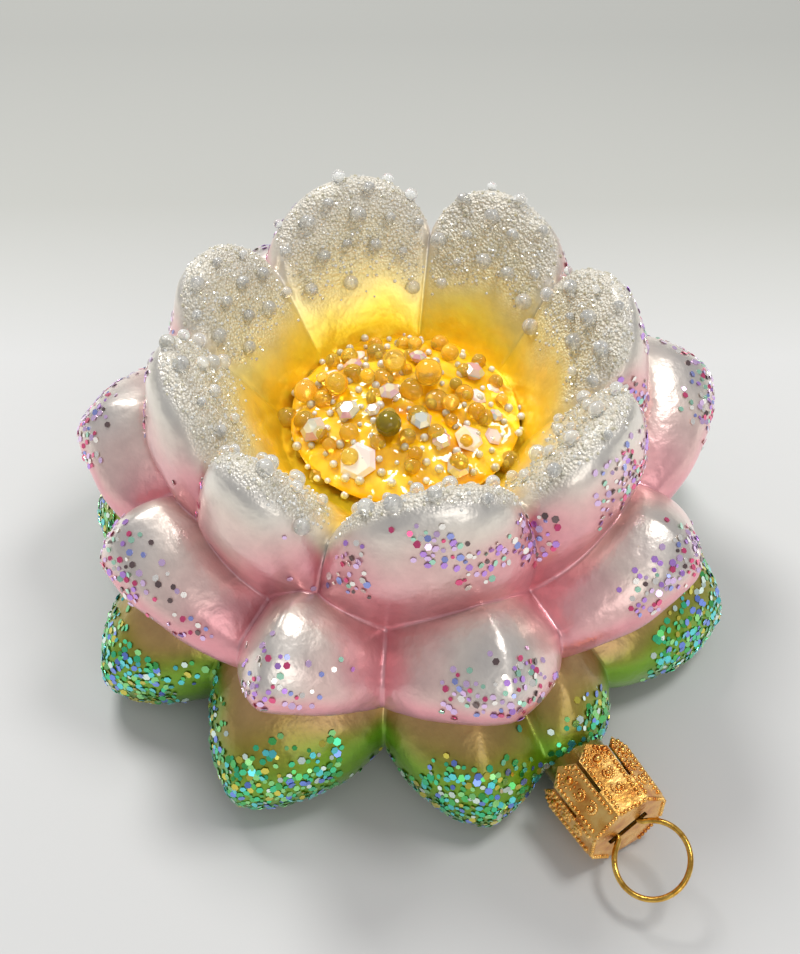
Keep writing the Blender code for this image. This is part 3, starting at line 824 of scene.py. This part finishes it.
# --- Crown cap --------------------------------------------------------------------------------------------
# Pressed from thin gilt brass and pushed over the neck: eight pointed tabs, each edged with beading round a
# boss and two scrolls, and a beaded rim round the top. The tab next to the table is left plain.
gilt, shader, add, wire = new_material("gilt")
where = add("ShaderNodeTexCoord").outputs["Object"]
tone = add("ShaderNodeTexNoise", {"Vector": where, "Scale": 420.0, "Detail": 3.0})
gilt_tones = ((0.25, paint(190, 112, 50)), (0.45, paint(226, 168, 84)), (0.75, paint(246, 206, 128)))
wire(add_ramp(add, tone.outputs["Fac"], gilt_tones).outputs["Color"], "Base Color")
shader.inputs["Metallic"].default_value = 1.0
rubbed = add("ShaderNodeMapRange", {"Value": tone.outputs["Fac"], "To Min": 0.16, "To Max": 0.36})
wire(rubbed.outputs[0], "Roughness")
pits = add("ShaderNodeTexNoise", {"Vector": where, "Scale": 1500.0})
pitted = add("ShaderNodeBump", {"Height": pits.outputs["Fac"], "Strength": 0.25, "Distance": 0.0002})
wire(pitted.outputs[0], "Normal")
refinish("crown_cap", gilt)

cap_low, cap_high = (Vector(corner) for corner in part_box("crown_cap"))
CAP_SIDES = 8
UNDERSIDE = CAP_SIDES // 2
MOUTH_APOTHEM, TOP_APOTHEM = 0.0062, 0.0057
TAB_HALF, TAB_POINT = 0.0018, 0.0017
BORDER_BEAD, BORDER_STEP = 0.00034, 0.00074
BOSS_BEAD, BOSS_PLACE, BOSS_RING, BOSS_RING_BEAD = 0.00062, 0.0026, 0.00108, 0.00026
SCROLL_PLACES, SCROLL_SWING = (0.0049, 0.0072), 0.00085
SCROLL_BEAD, SCROLL_EYE = 0.00028, 0.00042
RIM_BEAD, RIM_STEP, RIM_INSET = 0.00030, 0.00062, 0.985
mouth, cap_top = cap_low.x - 0.0002, cap_high.x
relief = bmesh.new()


def on_tab(side, along, across):
    """A place on a tab's face: along from the mouth to the top, and across from the middle."""
    apothem = MOUTH_APOTHEM + (TOP_APOTHEM - MOUTH_APOTHEM) * (along - mouth) / (cap_top - mouth)
    turn = Matrix.Rotation(side * math.tau / CAP_SIDES, 3, "X")
    return turn @ Vector((along, across, apothem)) + Vector((0, 0, AXIS_HEIGHT))


def add_pearl(place, radius, detail):
    bmesh.ops.create_icosphere(relief, subdivisions=detail, radius=radius, matrix=Matrix.Translation(place))


def add_border(side):
    """Rows of beads down both edges of a tab and round its point."""
    along = mouth + TAB_POINT + 0.0002
    while along < cap_top - 0.0004:
        for across in (-TAB_HALF, TAB_HALF):
            add_pearl(on_tab(side, along, across), BORDER_BEAD, 2)
        along += BORDER_STEP
    for share in (0.25, 0.5, 0.75):
        for sign in (-1, 1):
            across = sign * (0.0003 + TAB_HALF * share * 0.95)
            add_pearl(on_tab(side, mouth + 0.0006 + TAB_POINT * share, across), BORDER_BEAD, 2)


def add_boss(side):
    """A raised boss in a ring of small beads."""
    boss = mouth + BOSS_PLACE
    add_pearl(on_tab(side, boss, 0), BOSS_BEAD, 2)
    for step in range(10):
        angle = math.tau * step / 10
        place = on_tab(side, boss + BOSS_RING * math.cos(angle), BOSS_RING * math.sin(angle))
        add_pearl(place, BOSS_RING_BEAD, 1)


def add_scroll(side, centre, sign):
    """A curl that tightens round an eye."""
    for step in range(12):
        angle = math.radians(-130 + 25 * step)
        swing = SCROLL_SWING * (1 - 0.035 * step)
        place = on_tab(side, centre + swing * math.cos(angle), sign * swing * math.sin(angle))
        add_pearl(place, SCROLL_BEAD, 1)
    add_pearl(on_tab(side, centre, 0), SCROLL_EYE, 2)


for side in range(CAP_SIDES):
    if side == UNDERSIDE:
        continue
    add_border(side)
    add_boss(side)
    for index, place in enumerate(SCROLL_PLACES):
        add_scroll(side, mouth + place, 1 if (index + side) % 2 else -1)
    for step in range(7):
        edge = on_tab(side, cap_top, (step - 3) * RIM_STEP) - Vector((0, 0, AXIS_HEIGHT))
        inset = edge * RIM_INSET + Vector((cap_top * (1 - RIM_INSET), 0, AXIS_HEIGHT))
        add_pearl(inset, RIM_BEAD, 2)
relief_mesh = bpy.data.meshes.new("cap_relief")
relief.to_mesh(relief_mesh)
relief.free()
relief_mesh.shade_smooth()
relief_mesh.materials.append(gilt)
keep("cap_relief", relief_mesh, "gilt_brass")

# --- Hanger -----------------------------------------------------------------------------------------------
# One gilt spring wire, bent into a loop. Its two legs go through the cap's slot and spread inside the neck,
# which holds the cap on.
wire_gilt, shader, add, wire = new_material("gilt_wire")
where = add("ShaderNodeTexCoord").outputs["Object"]
drawn = add("ShaderNodeTexNoise", {"Vector": where, "Scale": 900.0, "Detail": 2.0})
wire_tones = ((0.3, paint(176, 128, 46)), (0.7, paint(224, 184, 92)))
wire(add_ramp(add, drawn.outputs["Fac"], wire_tones).outputs["Color"], "Base Color")
shader.inputs["Metallic"].default_value = 1.0
shader.inputs["Roughness"].default_value = 0.24
wire_mesh = smooth_copy("hanger_wire")
wire_mesh.materials.append(wire_gilt)
keep("hanger_loop", wire_mesh, "gilt_brass", "hanger_wire")
